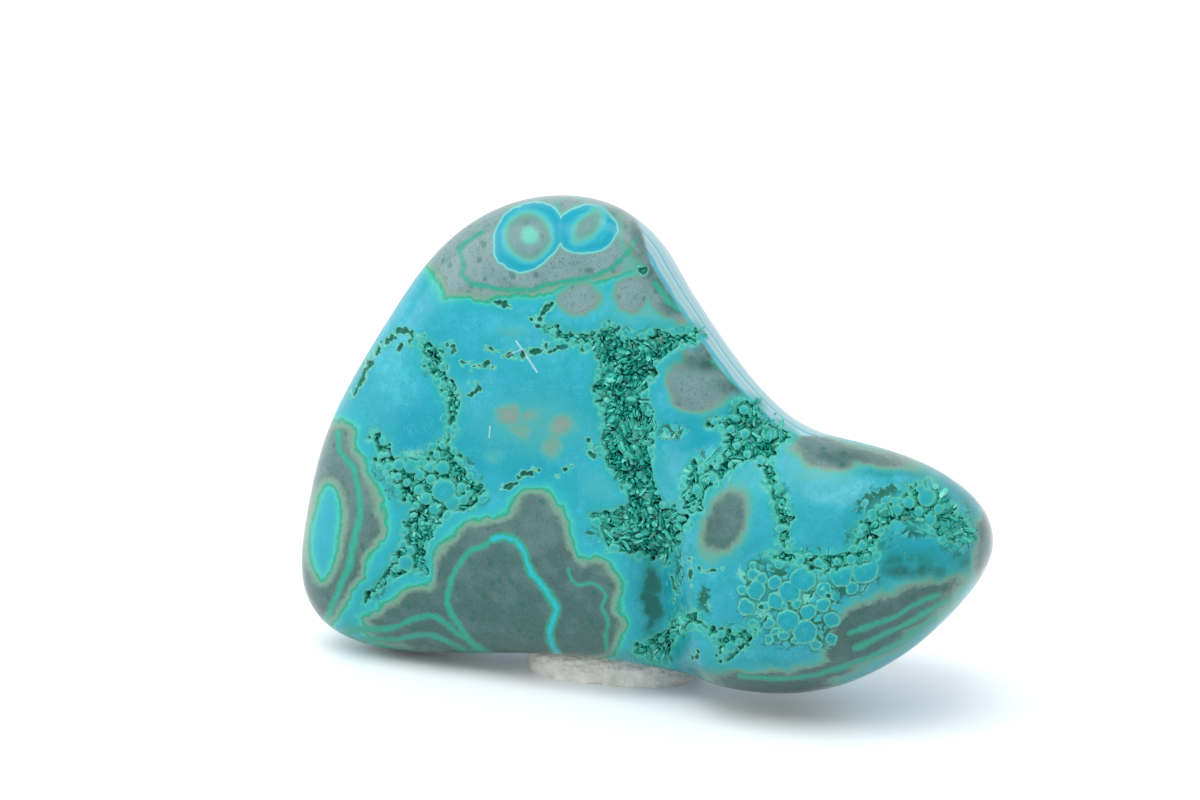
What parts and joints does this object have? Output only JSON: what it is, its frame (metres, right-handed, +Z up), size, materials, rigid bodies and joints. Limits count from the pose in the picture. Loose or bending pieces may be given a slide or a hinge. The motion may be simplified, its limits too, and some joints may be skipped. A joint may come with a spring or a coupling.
{
  "type": "polished chrysocolla malachite",
  "caption": "Polished freeform of blue chrysocolla and banded grey-green malachite with open crystal-lined hollows, standing on edge on a pad of putty.",
  "frame": {"origin": "centre of the bounding box's underside, on the surface that the stone stands on", "axes": "+Z up, the polished face towards -Y, the long side along X with the low lobe towards +X"},
  "size_m": [0.0882, 0.0334, 0.0579],
  "materials": {
    "polished_stone": "polished blue chrysocolla with grey-green malachite bands",
    "green_crystal": "rough emerald-green crystal crust",
    "putty": "matte off-white museum putty"
  },
  "bodies": {
    "root": {"stone": "polished_stone", "putty_pad": "putty", "druse_left": "green_crystal", "druse_centre": "green_crystal", "druse_right": "green_crystal", "druse_lobe": "green_crystal", "druse_lower": "green_crystal"}
  },
  "joints": []
}
